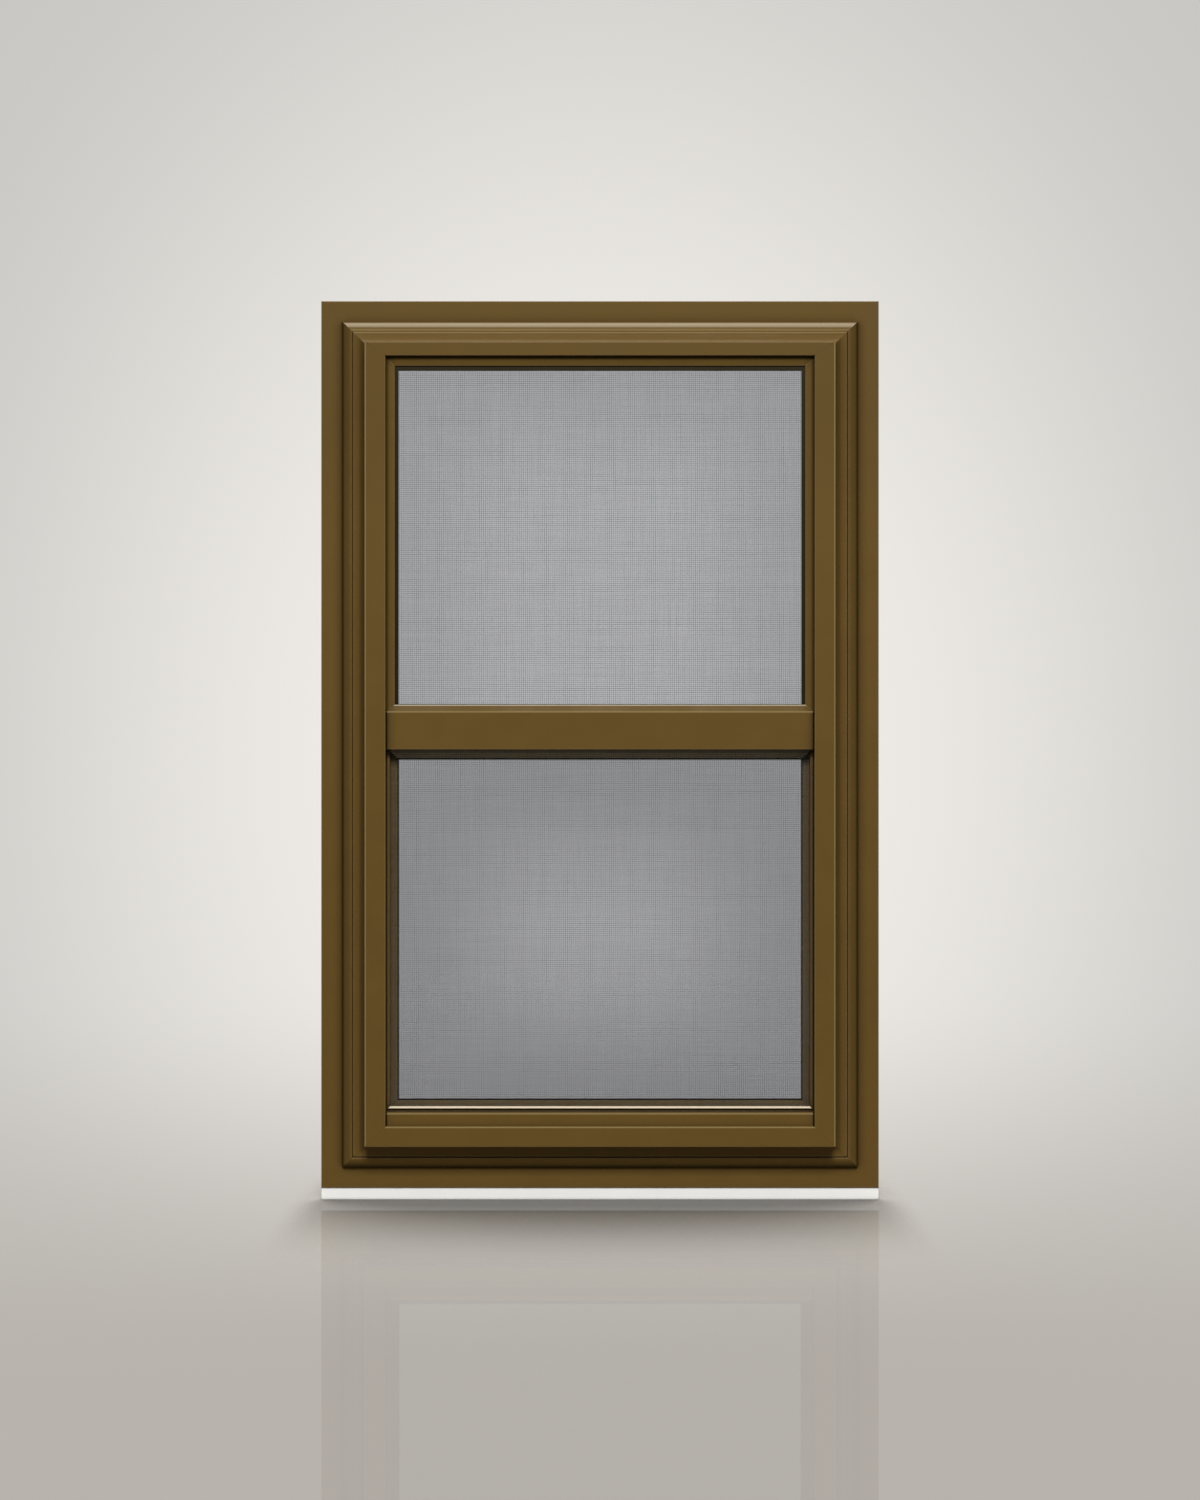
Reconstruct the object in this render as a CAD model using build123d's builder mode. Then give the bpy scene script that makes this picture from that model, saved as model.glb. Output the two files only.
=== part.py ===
"""Triple-track aluminium storm window with a mitred overlap frame.

Sizes are in millimetres. X runs to the right as seen from outdoors, Y into the building and Z up.
The origin lies on the back of the head flange, in the middle of its width.
"""

import os

from build123d import *

# Frame
frame_width = 609.6
frame_height = 969.5
frame_depth = 38.0
flange_width = 23.2
flange_thickness = 1.6
bead_radius = 11.0
quirk_width = 2.2
quirk_slope = 1.5
quirk_depth = 1.2
cove_radius = 14.6
skin = 1.6
fin = 1.4
edge_radius = 1.0
moulding = flange_width + bead_radius + quirk_width + cove_radius
jamb_face = 22.7
head_face = 15.0
sill_face = 21.7
web_share = 0.375
fin_setback = 1.7

# Tracks, as distances in front of the wall
reveal = 5.0
front_track = frame_depth - reveal
screen_track = 22.0
rear_track = 13.4
rear_fin = 2.2

# Sashes
sash_depth = 9.4
sash_wall = 1.4
pocket_depth = 9.8
pocket_height = 4.2
bevel_width = 8.6
bevel_drop = 2.4
track_reach = 62.0
gasket_wall = 0.9

# Upper sash, from the outer edges of the frame
upper_side = 83.0
upper_top = 75.8
meeting_lip = 441.9
meeting_face = 449.7
meeting_bottom = 490.3
meeting_gap = 0.9
upper_gasket_side = 3.9
upper_gasket_top = 4.6
upper_gasket_foot = 0.7

# Lower sash
lower_side = 84.0
lower_top = 499.6
lower_bottom = 872.4
lower_top_edge = 465.6
lift_height = 75.0
lift_reach = 8.0
lift_hook = 4.0
lift_setback = 14.0
lower_gasket_side = 1.5
lower_gasket_top = 1.8

# Thumb latches on the lift rail
latch_inset = 104.0
latch_height = 86.0
latch_length = 28.0
latch_width = 9.0
latch_plate = 1.4
latch_corner = 2.0
thumb_offset = 6.0
thumb_length = 9.0
thumb_width = 7.0
thumb_corner = 1.5
thumb_rise = 2.4
thumb_taper = 12

# Insect screen
screen_depth = 7.0
screen_wall = 1.0
screen_clearance = 0.4
screen_outer = 61.0
screen_side = 76.6
screen_top = 73.0
screen_bottom = 877.9
screen_lip = 2.4
screen_groove = 1.8
spline_width = 3.2
spline_setback = 2.0
mesh_thickness = 0.4

# Sill stop and expander
stop_height = 88.6
stop_gap = 1.2
expander_drop = 13.1
expander_depth = 6.3
expander_wall = 1.4
expander_rise = 22.0
expander_setback = 52.0
hanger_start = 4.0
hanger_end = 30.0
hanger_web = 6.0
hanger_gap = 1.8
hanger_depth = 3.4

# Lines well past a piece, to trim it by
trim_depth = 100.0
trim_outer = 50.0
trim_inner = 100.0
trim_over = 1.0
mitre_run = 1.2

frame_top = flange_width / 2
head_web = moulding + web_share * head_face
sill_web = moulding + web_share * sill_face
jamb_lip = moulding + jamb_face
upper_back = front_track - sash_depth
lower_back = rear_track - sash_depth
screen_back = screen_track - screen_depth
half_width = frame_width / 2

# Sides of the window: x in from the outer edge, y out from the wall, extruded along the side
head_plane = Plane((half_width, 0, frame_top), x_dir=(0, 0, -1), z_dir=(-1, 0, 0))
left_plane = Plane((-half_width, 0, frame_top), x_dir=(1, 0, 0), z_dir=(0, 0, -1))
sill_plane = Plane((-half_width, 0, frame_top - frame_height), x_dir=(0, 0, 1), z_dir=(1, 0, 0))


def front(u, v):
    """Point of the front view, u in from the left edge and v down from the top edge."""
    return (u - half_width, frame_top - v)


def both_sides(points):
    """Outline of the front view from its left half, given from the top down or along one line."""
    left = [front(u, v) for u, v in points]
    right = [(-x, z) for x, z in reversed(left)]
    return left + right


def strip(x0, y0, x1, y1, mode=Mode.ADD):
    """Rectangle between two corners of a section."""
    with Locations((x0, y0)):
        Rectangle(x1 - x0, y1 - y0, align=(Align.MIN, Align.MIN), mode=mode)


def corner(section, x, y):
    """Corner of a section nearest to a point."""
    return section.vertices().sort_by_distance((x, y))[0]


def frame_section(plane, face, hanger=False):
    """Hollow moulding with its flange, and the fins that part the three tracks."""
    web = moulding + web_share * face
    lip = moulding + face
    bead_x = flange_width + bead_radius
    bead_y = flange_thickness + bead_radius
    cove_x = bead_x + quirk_width
    cove_top = bead_y + cove_radius
    hollow_radius = bead_radius - quirk_depth - skin
    hollow_y = skin + hollow_radius
    front_wall = frame_depth - skin
    with BuildSketch(plane) as section:
        with BuildLine():
            Line((flange_width, 0), (flange_width, flange_thickness))
            CenterArc((bead_x, flange_thickness), bead_radius, 180, -90)
            Polyline((bead_x, bead_y), (bead_x + quirk_slope, bead_y - quirk_depth), (cove_x, bead_y))
            CenterArc((cove_x, cove_top), cove_radius, 270, 90)
            Polyline((moulding, cove_top), (moulding, frame_depth), (web, frame_depth))
            Polyline((web, frame_depth), (web, 0), (flange_width, 0))
        make_face()
        with BuildLine():
            CenterArc((bead_x, skin), hollow_radius, 180, -90)
            Polyline((bead_x, hollow_y), (cove_x, hollow_y), (cove_x, bead_y - skin))
            CenterArc((cove_x, cove_top), cove_radius + skin, 270, 90)
            Polyline(
                (moulding + skin, cove_top),
                (moulding + skin, front_wall),
                (web - skin, front_wall),
                (web - skin, skin),
                (bead_x - hollow_radius, skin),
            )
        make_face(mode=Mode.SUBTRACT)
        strip(0, 0, flange_width + skin, flange_thickness)
        strip(web - skin, front_wall, lip, frame_depth)
        strip(lip - fin, front_track, lip, frame_depth)
        strip(web - skin, screen_track, lip - fin_setback, screen_track + fin)
        strip(web - skin, rear_track, lip - fin_setback, rear_track + fin)
        strip(web - skin, rear_fin, lip, rear_fin + fin)
        if hanger:
            strip(hanger_end - hanger_web, -hanger_depth, hanger_end, skin)
            strip(hanger_start, -hanger_depth, hanger_end, -hanger_gap)
        fillet(corner(section, moulding, frame_depth), edge_radius)
        fillet(corner(section, lip, frame_depth), edge_radius * 0.8)
        fillet(corner(section, bead_x, bead_y), edge_radius * 0.4)
        fillet(corner(section, 0, flange_thickness), edge_radius * 0.6)
    return section.sketch


def sash_section(plane, outer, lip, back):
    """Tube with a glazing pocket under a bevelled lip."""
    face = back + sash_depth
    floor = lip - pocket_depth
    tip = face - bevel_drop
    with BuildSketch(plane) as section:
        with BuildLine():
            Polyline(
                (outer, back),
                (outer, face),
                (lip - bevel_width, face),
                (lip, tip),
                (lip, back),
                close=True,
            )
        make_face()
        strip(floor, back + sash_wall, lip, back + sash_wall + pocket_height, mode=Mode.SUBTRACT)
        strip(
            outer + sash_wall,
            back + sash_wall,
            floor - sash_wall,
            face - sash_wall,
            mode=Mode.SUBTRACT,
        )
        fillet(corner(section, lip - bevel_width, face), edge_radius * 0.7)
        fillet(corner(section, lip, tip), edge_radius * 0.4)
    return section.sketch


def screen_section(plane, outer, lip):
    """Flat tube with a shadow groove in front and a spline groove behind."""
    face = screen_back + screen_depth
    with BuildSketch(plane) as section:
        strip(outer, screen_back, lip, face)
        strip(
            lip - screen_lip - screen_groove,
            face - screen_groove,
            lip - screen_lip,
            face,
            mode=Mode.SUBTRACT,
        )
        strip(lip - spline_setback, screen_back, lip, screen_back + mesh_thickness, mode=Mode.SUBTRACT)
        strip(
            lip - spline_setback - spline_width,
            screen_back,
            lip - spline_setback,
            screen_back + spline_width,
            mode=Mode.SUBTRACT,
        )
        strip(
            outer + screen_wall,
            screen_back + screen_wall,
            lip - spline_setback - spline_width - screen_wall,
            face - screen_wall,
            mode=Mode.SUBTRACT,
        )
        fillet(corner(section, lip, face), edge_radius * 0.6)
        fillet(corner(section, lip - screen_lip - screen_groove, face), edge_radius * 0.6)
    return section.sketch


def run(name, section, length, outline):
    """Section run along its side and trimmed to an outline of the front view."""
    with BuildPart() as piece:
        extrude(section, amount=length)
        with BuildSketch(Plane.XZ):
            with BuildLine():
                Polyline(*outline, close=True)
            make_face()
        extrude(amount=trim_depth, both=True, mode=Mode.INTERSECT)
    piece.part.label = name
    return piece.part


def mirrored(name, left):
    """Right-hand piece from its left-hand twin."""
    with BuildPart() as piece:
        mirror(left, about=Plane.YZ)
    piece.part.label = name
    return piece.part


def pane(name, side, top, bottom, near, far):
    """Flat sheet between two distances from the wall."""
    with BuildPart() as piece:
        with BuildSketch(Plane.XZ.offset(near)):
            with BuildLine():
                Polyline(*both_sides([(side, top), (side, bottom)]), close=True)
            make_face()
        extrude(amount=far - near)
    piece.part.label = name
    return piece.part


def gasket(name, outer, inner, back):
    """Channel of vinyl round the edge of a glass, in the glazing pockets of its sash."""
    near = back + sash_wall
    far = near + pocket_height
    with BuildPart() as piece:
        with BuildSketch(Plane.XZ.offset(near)):
            with BuildLine():
                Polyline(*both_sides([(outer[0], outer[1]), (outer[0], outer[2])]), close=True)
            make_face()
            with BuildLine():
                Polyline(*both_sides([(inner[0], inner[1]), (inner[0], inner[2])]), close=True)
            make_face(mode=Mode.SUBTRACT)
        extrude(amount=far - near)
        with BuildSketch(Plane.XZ.offset(near + gasket_wall)):
            side = outer[0] + gasket_wall
            top = outer[1] + gasket_wall
            bottom = outer[2] - gasket_wall
            with BuildLine():
                Polyline(*both_sides([(side, top), (side, bottom)]), close=True)
            make_face()
        extrude(amount=far - near - 2 * gasket_wall, mode=Mode.SUBTRACT)
    piece.part.label = name
    return piece.part


pieces = []

# Mitred outer frame
head_mitre = (moulding + mitre_run * jamb_face, moulding + mitre_run * head_face)
sill_mitre = (moulding + mitre_run * jamb_face, frame_height - moulding - mitre_run * sill_face)
sill_corner = (moulding, frame_height - moulding)
head_outline = both_sides([(0, 0), (moulding, moulding), head_mitre])
jamb_outline = [
    front(*point)
    for point in [
        (0, 0),
        (moulding, moulding),
        head_mitre,
        sill_mitre,
        sill_corner,
        (0, frame_height),
    ]
]
sill_outline = both_sides([(0, frame_height), sill_corner, sill_mitre])
pieces.append(run("head_rail", frame_section(head_plane, head_face), frame_width, head_outline))
left_jamb = run("left_jamb", frame_section(left_plane, jamb_face), frame_height, jamb_outline)
pieces.append(left_jamb)
pieces.append(mirrored("right_jamb", left_jamb))
sill_section = frame_section(sill_plane, sill_face, hanger=True)
pieces.append(run("sill_rail", sill_section, frame_width, sill_outline))

# Stop bar on the floor of the front track
with BuildPart() as sill_stop_bar:
    with BuildSketch(sill_plane.offset(jamb_lip + stop_gap)) as stop:
        strip(sill_web, upper_back, stop_height, front_track)
        strip(
            sill_web + sash_wall,
            upper_back + sash_wall,
            stop_height - sash_wall,
            front_track - sash_wall,
            mode=Mode.SUBTRACT,
        )
        fillet(corner(stop, stop_height, front_track), edge_radius)
    extrude(amount=frame_width - 2 * (jamb_lip + stop_gap))
sill_stop_bar.part.label = "sill_stop_bar"
pieces.append(sill_stop_bar.part)

# Channel that slides down behind the sill flange to meet the building
with BuildPart() as sill_expander:
    with BuildSketch(sill_plane):
        strip(-expander_drop, -expander_depth, expander_rise, 0)
        strip(
            -expander_drop + expander_wall,
            -expander_depth + expander_wall,
            expander_rise,
            -expander_wall,
            mode=Mode.SUBTRACT,
        )
    extrude(amount=frame_width)
    with BuildSketch(Plane.XZ):
        with BuildLine():
            Polyline(
                *both_sides(
                    [
                        (expander_setback, frame_height - expander_rise - trim_over),
                        (expander_setback, frame_height),
                        (0, frame_height),
                        (0, frame_height + expander_drop + trim_over),
                    ]
                ),
                close=True,
            )
        make_face()
    extrude(amount=trim_depth, both=True, mode=Mode.INTERSECT)
sill_expander.part.label = "sill_expander"
pieces.append(sill_expander.part)

# Upper sash in the front track
bevel_foot = upper_side - bevel_width
bevel_slope = (meeting_face - meeting_lip) / bevel_width
lip_end = (trim_inner, meeting_face - bevel_slope * (trim_inner - bevel_foot))
top_mitre = [(trim_outer, upper_top - upper_side + trim_outer), (trim_inner, upper_top + trim_inner - upper_side)]
joint = jamb_lip + stop_gap - meeting_gap
stile_outline = [
    front(*point)
    for point in [
        (trim_outer, head_web),
        (upper_side - upper_top + head_web, head_web),
        top_mitre[1],
        lip_end,
        (bevel_foot, meeting_face),
        (joint, meeting_face),
        (joint, meeting_bottom),
        (trim_outer, meeting_bottom),
    ]
]
top_section = sash_section(head_plane, head_web, upper_top, upper_back)
top_outline = both_sides(top_mitre)
pieces.append(run("upper_sash_top_rail", top_section, frame_width, top_outline))
stile_section = sash_section(left_plane, track_reach, upper_side, upper_back)
left_stile = run("upper_sash_left_stile", stile_section, frame_height, stile_outline)
pieces.append(left_stile)
pieces.append(mirrored("upper_sash_right_stile", left_stile))

# Meeting rail, which carries the foot of the upper glass
with BuildPart() as meeting_rail:
    with BuildSketch(head_plane) as rail:
        with BuildLine():
            Polyline(
                (meeting_lip, upper_back),
                (meeting_lip, front_track - bevel_drop),
                (meeting_face, front_track),
                (meeting_bottom, front_track),
                (meeting_bottom, upper_back),
                close=True,
            )
        make_face()
        floor = meeting_lip + pocket_depth
        near = upper_back + sash_wall
        strip(meeting_lip, near, floor, near + pocket_height, mode=Mode.SUBTRACT)
        strip(
            floor + sash_wall,
            near,
            meeting_bottom - sash_wall,
            front_track - sash_wall,
            mode=Mode.SUBTRACT,
        )
        fillet(corner(rail, meeting_face, front_track), edge_radius * 0.8)
        fillet(corner(rail, meeting_lip, front_track - bevel_drop), edge_radius * 0.4)
        fillet(corner(rail, meeting_bottom, front_track), edge_radius * 0.6)
    extrude(amount=frame_width)
    with BuildSketch(Plane.XZ):
        with BuildLine():
            Polyline(
                *both_sides(
                    [
                        lip_end,
                        (bevel_foot, meeting_face),
                        (joint + meeting_gap, meeting_face),
                        (joint + meeting_gap, meeting_bottom + trim_over),
                    ]
                ),
                close=True,
            )
        make_face()
    extrude(amount=trim_depth, both=True, mode=Mode.INTERSECT)
meeting_rail.part.label = "meeting_rail"
pieces.append(meeting_rail.part)

# Upper glass in its gasket
upper_outer = (upper_side - pocket_depth, upper_top - pocket_depth, meeting_lip + pocket_depth)
upper_inner = (
    upper_side + upper_gasket_side,
    upper_top + upper_gasket_top,
    meeting_lip - upper_gasket_foot,
)
pieces.append(gasket("upper_glazing_gasket", upper_outer, upper_inner, upper_back))
pieces.append(
    pane(
        "upper_glass",
        upper_outer[0] + gasket_wall,
        upper_outer[1] + gasket_wall,
        upper_outer[2] - gasket_wall,
        upper_back + sash_wall + gasket_wall,
        upper_back + sash_wall + pocket_height - gasket_wall,
    )
)

# Lower sash in the rear track
lower_heel = lower_top - lower_side
lower_toe = lower_bottom + lower_side
lower_stile_outline = [
    front(*point)
    for point in [
        (trim_outer, lower_heel + trim_outer),
        (trim_inner, lower_heel + trim_inner),
        (trim_inner, lower_toe - trim_inner),
        (trim_outer, lower_toe - trim_outer),
    ]
]
lower_top_outline = both_sides(
    [
        (track_reach, lower_top_edge - trim_over),
        (track_reach, lower_heel + track_reach),
        (trim_inner, lower_heel + trim_inner),
    ]
)
lower_bottom_outline = both_sides(
    [
        (trim_inner, lower_toe - trim_inner),
        (track_reach, lower_toe - track_reach),
        (track_reach, frame_height),
    ]
)
lower_top_section = sash_section(head_plane, lower_top_edge, lower_top, lower_back)
pieces.append(run("lower_sash_top_rail", lower_top_section, frame_width, lower_top_outline))
lower_stile_section = sash_section(left_plane, track_reach, lower_side, lower_back)
lower_stile = run(
    "lower_sash_left_stile",
    lower_stile_section,
    frame_height,
    lower_stile_outline,
)
pieces.append(lower_stile)
pieces.append(mirrored("lower_sash_right_stile", lower_stile))
lower_lip = frame_height - lower_bottom
lift_section = sash_section(sill_plane, sill_web, lower_lip, lower_back)
lift_base = run("lift_base", lift_section, frame_width, lower_bottom_outline)
with BuildPart() as lift_rail:
    add(lift_base)
    with BuildSketch(sill_plane.offset(jamb_lip + lift_setback)):
        strip(lift_height, lower_back - lift_reach, lift_height + fin, lower_back + sash_wall)
        strip(lift_height, lower_back - lift_reach, lift_height + lift_hook, fin - lift_reach + lower_back)
    extrude(amount=frame_width - 2 * (jamb_lip + lift_setback))
lift_rail.part.label = "lower_sash_lift_rail"
pieces.append(lift_rail.part)

# Lower glass in its gasket
lower_outer = (lower_side - pocket_depth, lower_top - pocket_depth, lower_bottom + pocket_depth)
lower_inner = (
    lower_side + lower_gasket_side,
    lower_top + lower_gasket_top,
    lower_bottom - lower_gasket_side,
)
pieces.append(gasket("lower_glazing_gasket", lower_outer, lower_inner, lower_back))
pieces.append(
    pane(
        "lower_glass",
        lower_outer[0] + gasket_wall,
        lower_outer[1] + gasket_wall,
        lower_outer[2] - gasket_wall,
        lower_back + sash_wall + gasket_wall,
        lower_back + sash_wall + pocket_height - gasket_wall,
    )
)

# Latch plates with their thumb pieces
with BuildPart() as left_latch:
    with BuildSketch(Plane.XZ.offset(lower_back)):
        with Locations(front(latch_inset, frame_height - latch_height)):
            RectangleRounded(latch_length, latch_width, latch_corner)
    extrude(amount=-latch_plate)
    with BuildSketch(Plane.XZ.offset(lower_back - latch_plate)):
        with Locations(front(latch_inset - thumb_offset, frame_height - latch_height)):
            RectangleRounded(thumb_length, thumb_width, thumb_corner)
    extrude(amount=-thumb_rise, taper=thumb_taper)
left_latch.part.label = "left_latch"
pieces.append(left_latch.part)
pieces.append(mirrored("right_latch", left_latch.part))

# Full-height insect screen in the middle track
screen_heel = screen_top - screen_side
screen_toe = screen_bottom + screen_side
screen_rail_outline = [
    front(*point)
    for point in [
        (trim_outer, screen_heel + trim_outer),
        (trim_inner, screen_heel + trim_inner),
        (trim_inner, screen_toe - trim_inner),
        (trim_outer, screen_toe - trim_outer),
    ]
]
screen_top_outline = both_sides(
    [
        (screen_outer, head_web - trim_over),
        (screen_outer, screen_heel + screen_outer),
        (trim_inner, screen_heel + trim_inner),
    ]
)
screen_bottom_outline = both_sides(
    [
        (trim_inner, screen_toe - trim_inner),
        (screen_outer, screen_toe - screen_outer),
        (screen_outer, frame_height),
    ]
)
screen_head_section = screen_section(head_plane, head_web + screen_clearance, screen_top)
pieces.append(run("screen_top_rail", screen_head_section, frame_width, screen_top_outline))
screen_side_section = screen_section(left_plane, screen_outer, screen_side)
screen_left = run("screen_left_rail", screen_side_section, frame_height, screen_rail_outline)
pieces.append(screen_left)
pieces.append(mirrored("screen_right_rail", screen_left))
screen_sill_section = screen_section(sill_plane, sill_web, frame_height - screen_bottom)
pieces.append(run("screen_bottom_rail", screen_sill_section, frame_width, screen_bottom_outline))

# Spline that holds the mesh in its groove, and the mesh as one thin sheet
mesh_side = screen_side - spline_setback
mesh_top = screen_top - spline_setback
mesh_bottom = screen_bottom + spline_setback
with BuildPart() as screen_spline:
    with BuildSketch(Plane.XZ.offset(screen_back)):
        with BuildLine():
            Polyline(
                *both_sides(
                    [
                        (mesh_side - spline_width, mesh_top - spline_width),
                        (mesh_side - spline_width, mesh_bottom + spline_width),
                    ]
                ),
                close=True,
            )
        make_face()
        with BuildLine():
            Polyline(*both_sides([(mesh_side, mesh_top), (mesh_side, mesh_bottom)]), close=True)
        make_face(mode=Mode.SUBTRACT)
    extrude(amount=spline_width)
screen_spline.part.label = "screen_spline"
pieces.append(screen_spline.part)
pieces.append(
    pane(
        "screen_mesh",
        mesh_side,
        mesh_top,
        mesh_bottom,
        screen_back,
        screen_back + mesh_thickness,
    )
)

os.makedirs("parts", exist_ok=True)
for piece in pieces:
    export_step(piece, f"parts/{piece.label}.step")
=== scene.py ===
"""Looks of the storm window: enamel, glass, vinyl, woven screen and the studio it stands in."""

import math
from collections import namedtuple

import bpy
from bpy.props import FloatProperty, FloatVectorProperty, IntProperty, PointerProperty
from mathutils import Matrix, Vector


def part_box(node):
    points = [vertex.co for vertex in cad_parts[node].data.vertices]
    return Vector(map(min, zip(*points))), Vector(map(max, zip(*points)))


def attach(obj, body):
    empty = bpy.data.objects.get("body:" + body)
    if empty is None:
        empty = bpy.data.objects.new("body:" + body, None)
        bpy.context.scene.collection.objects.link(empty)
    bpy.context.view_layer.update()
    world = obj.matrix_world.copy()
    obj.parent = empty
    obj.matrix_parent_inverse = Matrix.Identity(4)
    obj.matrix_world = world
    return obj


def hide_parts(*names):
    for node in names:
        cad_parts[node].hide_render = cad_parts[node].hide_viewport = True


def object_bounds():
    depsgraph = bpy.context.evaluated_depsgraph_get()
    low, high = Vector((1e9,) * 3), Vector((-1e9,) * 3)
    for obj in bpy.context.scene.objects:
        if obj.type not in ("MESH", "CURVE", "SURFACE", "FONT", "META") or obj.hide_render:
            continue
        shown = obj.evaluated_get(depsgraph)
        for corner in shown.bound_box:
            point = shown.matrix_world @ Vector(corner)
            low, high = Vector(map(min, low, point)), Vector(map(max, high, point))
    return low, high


bl_info = {
    "name": "Storm Window Looks",
    "version": (1, 0, 0),
    "blender": (4, 5, 0),
    "location": "View3D > Sidebar > Storm Window",
    "description": "Finishes the pieces of a storm window and sets them in a plain studio",
    "category": "Object",
}

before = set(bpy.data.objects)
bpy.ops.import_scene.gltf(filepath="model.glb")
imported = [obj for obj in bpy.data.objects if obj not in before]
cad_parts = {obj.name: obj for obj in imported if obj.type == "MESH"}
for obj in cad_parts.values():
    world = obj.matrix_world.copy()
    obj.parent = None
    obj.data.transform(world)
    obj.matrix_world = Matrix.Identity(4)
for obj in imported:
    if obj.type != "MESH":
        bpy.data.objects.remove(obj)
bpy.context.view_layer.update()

JAMB_NODES = ("left_jamb", "right_jamb")
FRONT_NODES = ("upper_sash_top_rail", "upper_sash_left_stile", "upper_sash_right_stile")
SCREEN_NODES = ("screen_top_rail", "screen_left_rail", "screen_right_rail")
REAR_NODES = ("lower_sash_left_stile", "lower_sash_right_stile", "lower_sash_lift_rail")
GASKET_NODES = ("upper_glazing_gasket", "lower_glazing_gasket")
LATCH_NODES = ("left_latch", "right_latch")

HEAD_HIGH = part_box("head_rail")[1]
SILL_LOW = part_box("sill_rail")[0]
MESH_LOW, MESH_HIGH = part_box("screen_mesh")
OBJECT_LOW, OBJECT_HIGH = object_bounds()

# Colours of the enamel away from its plain faces: painted shade, painted highlights, painted fill light and the
# dark mitre joints
PAINTED_SHADE = (0.028, 0.016, 0.003)  # painted shade in grooves, corners and gaps
# lighter painted shade for the corners of the head and of the stop bar
HEAD_CORNER_SHADE = (0.080, 0.048, 0.013)
STOP_CORNER_SHADE = (0.090, 0.053, 0.013)
JOINT = (0.030, 0.018, 0.004)  # hairlines of the mitres
EDGE_HIGHLIGHT = (0.30, 0.22, 0.11)  # painted highlight on sharp edges all over
# painted highlight lines along edges and crests, from dim to pale
PAINTED_HIGHLIGHT_DIM = (0.22, 0.155, 0.06)
PAINTED_HIGHLIGHT_BRIGHT = (0.36, 0.31, 0.23)
PAINTED_HIGHLIGHT_PALE = (0.79, 0.68, 0.51)
# painted fill light that lifts the front faces of the rear sash rails
PAINTED_FILL = (0.40, 0.33, 0.21)
# painted shade in the corners of the white expander
EXPANDER_CORNER_SHADE = (0.36, 0.35, 0.33)

# Reflections on enamel and vinyl
WARM_GLOSS = (1.0, 0.85, 0.55)
ENAMEL_SPECULAR = 0.14
VINYL_SPECULAR = 0.15
DULL_CORNER = 0.95  # roughness in the corners that get painted shade
PEEL_DEPTH = 0.0002

# Strength of each effect on the bronze
# share of the painted highlight on edges
EDGE_HIGHLIGHT_SHARE = 0.9
# share of the painted shade in corners
CORNER_SHADE_SHARE = 0.92
JOINT_SHARE = 0.6
PAINTED_FILL_FACING = (-0.3, -0.8)  # painted fill light shows on what faces the front

# Soft Arris: how far a normal turns at an edge, and the open sky at edges and in corners
EFFECT_SAMPLES = 6
EDGE_TURN = 0.93
EDGE_SKY = (0.60, 0.85)
CORNER_SKY = (0.98, 0.62)

# Mitre Hairline: distance to the joint is scaled by its slant, and edges are left sharp beside it
OUTER_SLANT = 1.2
INNER_SLANT = 0.77
JOINT_CLEARANCE = (0.0016, 0.0009)

# Range of a noise texture that the finishes use
NOISE_RANGE = (0.3, 0.7)

# Places on the frame's section, from its outer edge
BEAD_FOOT = 0.0236
HEAD_CREST = 0.0277
BEAD_FLANK = 0.0285
QUIRK = 0.0350

# A line of colour along a piece: axis, place along it, half its width, colour and strength
Line = namedtuple("Line", "axis place half tint strength")

# A pane: node, reach of its painted edge shade, how far below the pane the shade's foot lies, and share of tint
# at the edge
Pane = namedtuple("Pane", "name reach below edge")
PANES = (Pane("upper_glass", 0.17, 0.2, 0.86), Pane("lower_glass", 0.20, 0.0, 0.74))
GLASS_IOR = 1.5
SMEARED = 0.985
SMEAR_ROUGHNESS = 0.02
PASSING_LIGHT = (0.88, 0.91, 0.92)

# Strands of the screen: noise along and across a strand, and its change of tone and roughness
SLUB_ACROSS = 620.0
SLUB_ALONG = 16.0
SLUB_TONE = (0.8, 1.2)
SLUB_ROUGHNESS = (0.5, 0.7)
STRAND_SIDES = 4
STRAND_SMOOTH = math.radians(70)

# Floor: its outline, where it fades out, its contact shade and its polish
FLOOR_SIDES = 96
FLOOR_RADIUS = 2.4
FLOOR_RIM = 0.6
FADE_ASIDE = (-0.01, 0.04)  # past the window's sides
FADE_BEHIND = (0.0, 0.16)
FADE_AHEAD = (-0.45, -0.12)
TOUCH_SAMPLES = 8
TOUCH_REACH = 0.40
TOUCH_SKY = (0.48, 0.84)
TOUCH_SHADE = 0.34
POLISH = 0.13
POLISH_ROUGHNESS = 0.02
POLISH_FACING = (0.25, 0.5)  # none from above, all of it at a low angle

# Backdrop: its glow, where the ground begins, and the even fill
GLOW_SHAPE = (1.0, 0.0, 0.78)
GLOW_REACH = (0.09, 0.37)
GROUND_LEVEL = (-0.10, -0.28)
FILL_COLOUR = (1.0, 0.99, 0.97)
FILL_TURN = (0.0, 0.5)
MIRROR_TURN = (-0.1, 0.2)

# Lamps and camera
LAMP_COLOUR = (1.0, 0.985, 0.96)
KEY_PLACE, KEY_SIZE = (0.2, -4.6, 2.9), (1.9, 1.6)
TOP_PLACE, TOP_SIZE = (0.0, 0.62, 5.0), (2.4, 1.2)
SENSOR_WIDTH = 36.0


def colour_prop(name, description, default):
    """A linear colour that a user may change."""
    return FloatVectorProperty(
        name=name, description=description, default=default, size=3, min=0.0, max=1.0, subtype="COLOR"
    )


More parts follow.
